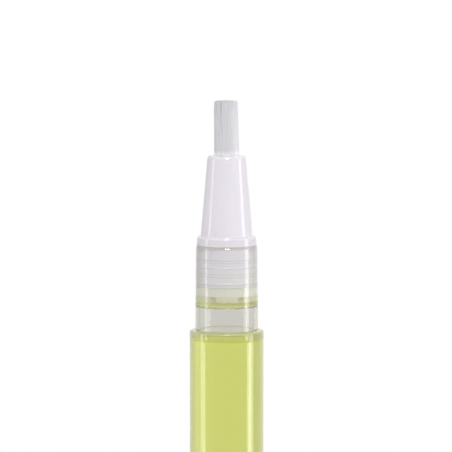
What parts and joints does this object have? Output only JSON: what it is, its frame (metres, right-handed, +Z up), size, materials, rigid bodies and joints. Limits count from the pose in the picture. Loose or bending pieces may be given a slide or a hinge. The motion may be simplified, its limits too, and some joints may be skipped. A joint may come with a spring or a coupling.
{
  "type": "nail oil pen",
  "caption": "Uncapped twist-up brush pen: clear oil-filled barrel, white cone nozzle with a flat-cut brush, and a fluted twist knob.",
  "frame": {"origin": "centre of the knob's flat end, on which the pen stands", "axes": "+Z up along the pen's axis, from the knob to the brush; +X and +Y are radial and alike"},
  "size_m": [0.01, 0.01, 0.125],
  "materials": {
    "barrel": "clear moulded plastic",
    "nozzle": "white moulded plastic",
    "knob": "white moulded plastic",
    "end_plug": "white moulded plastic",
    "oil": "clear yellow-green oil",
    "flow_insert": "natural polyethylene",
    "feed_tube": "natural polyethylene",
    "brush_ferrule": "natural polyethylene",
    "bristles": "fine nylon filaments",
    "piston": "soft white polyethylene",
    "threaded_rod": "white acetal",
    "rod_nut": "white acetal",
    "guide_sleeve": "white moulded plastic",
    "drive_sleeve": "white moulded plastic",
    "click_ring": "white acetal",
    "spring_steel": "spring wire",
    "friction_ring": "black rubber"
  },
  "bodies": {
    "barrel": {"barrel": "barrel", "nozzle": "nozzle", "flow_insert": "flow_insert", "feed_tube": "feed_tube", "brush_ferrule": "brush_ferrule", "bristles": "bristles", "oil": "oil", "neck_oil": "oil", "guide_sleeve": "guide_sleeve", "rod_nut": "rod_nut", "friction_ring": "friction_ring"},
    "knob": {"knob": "knob", "end_plug": "end_plug", "drive_sleeve": "drive_sleeve", "click_spring": "spring_steel", "click_ring": "click_ring", "retaining_ring": "spring_steel"},
    "piston": {"piston": "piston"},
    "rod": {"threaded_rod": "threaded_rod"}
  },
  "joints": [
    {"name": "piston_slide", "type": "slide", "parent": "barrel", "child": "piston", "axis": [0, 0, 1], "range_m": [0, 0.037], "deforming": ["oil"]},
    {"name": "knob_turn", "type": "hinge", "parent": "barrel", "child": "knob", "pos_m": [0, 0, 0.008], "axis": [0, 0, 1], "range_deg": [0, 6661]},
    {"name": "rod_turn", "type": "hinge", "parent": "piston", "child": "rod", "pos_m": [0, 0, 0.05], "axis": [0, 0, 1], "range_deg": [0, 6661]}
  ],
  "couplings": [
    {"joint": "knob_turn", "follows": "piston_slide", "rad_per_m": 3141.6},
    {"joint": "rod_turn", "follows": "piston_slide", "rad_per_m": 3141.6}
  ]
}
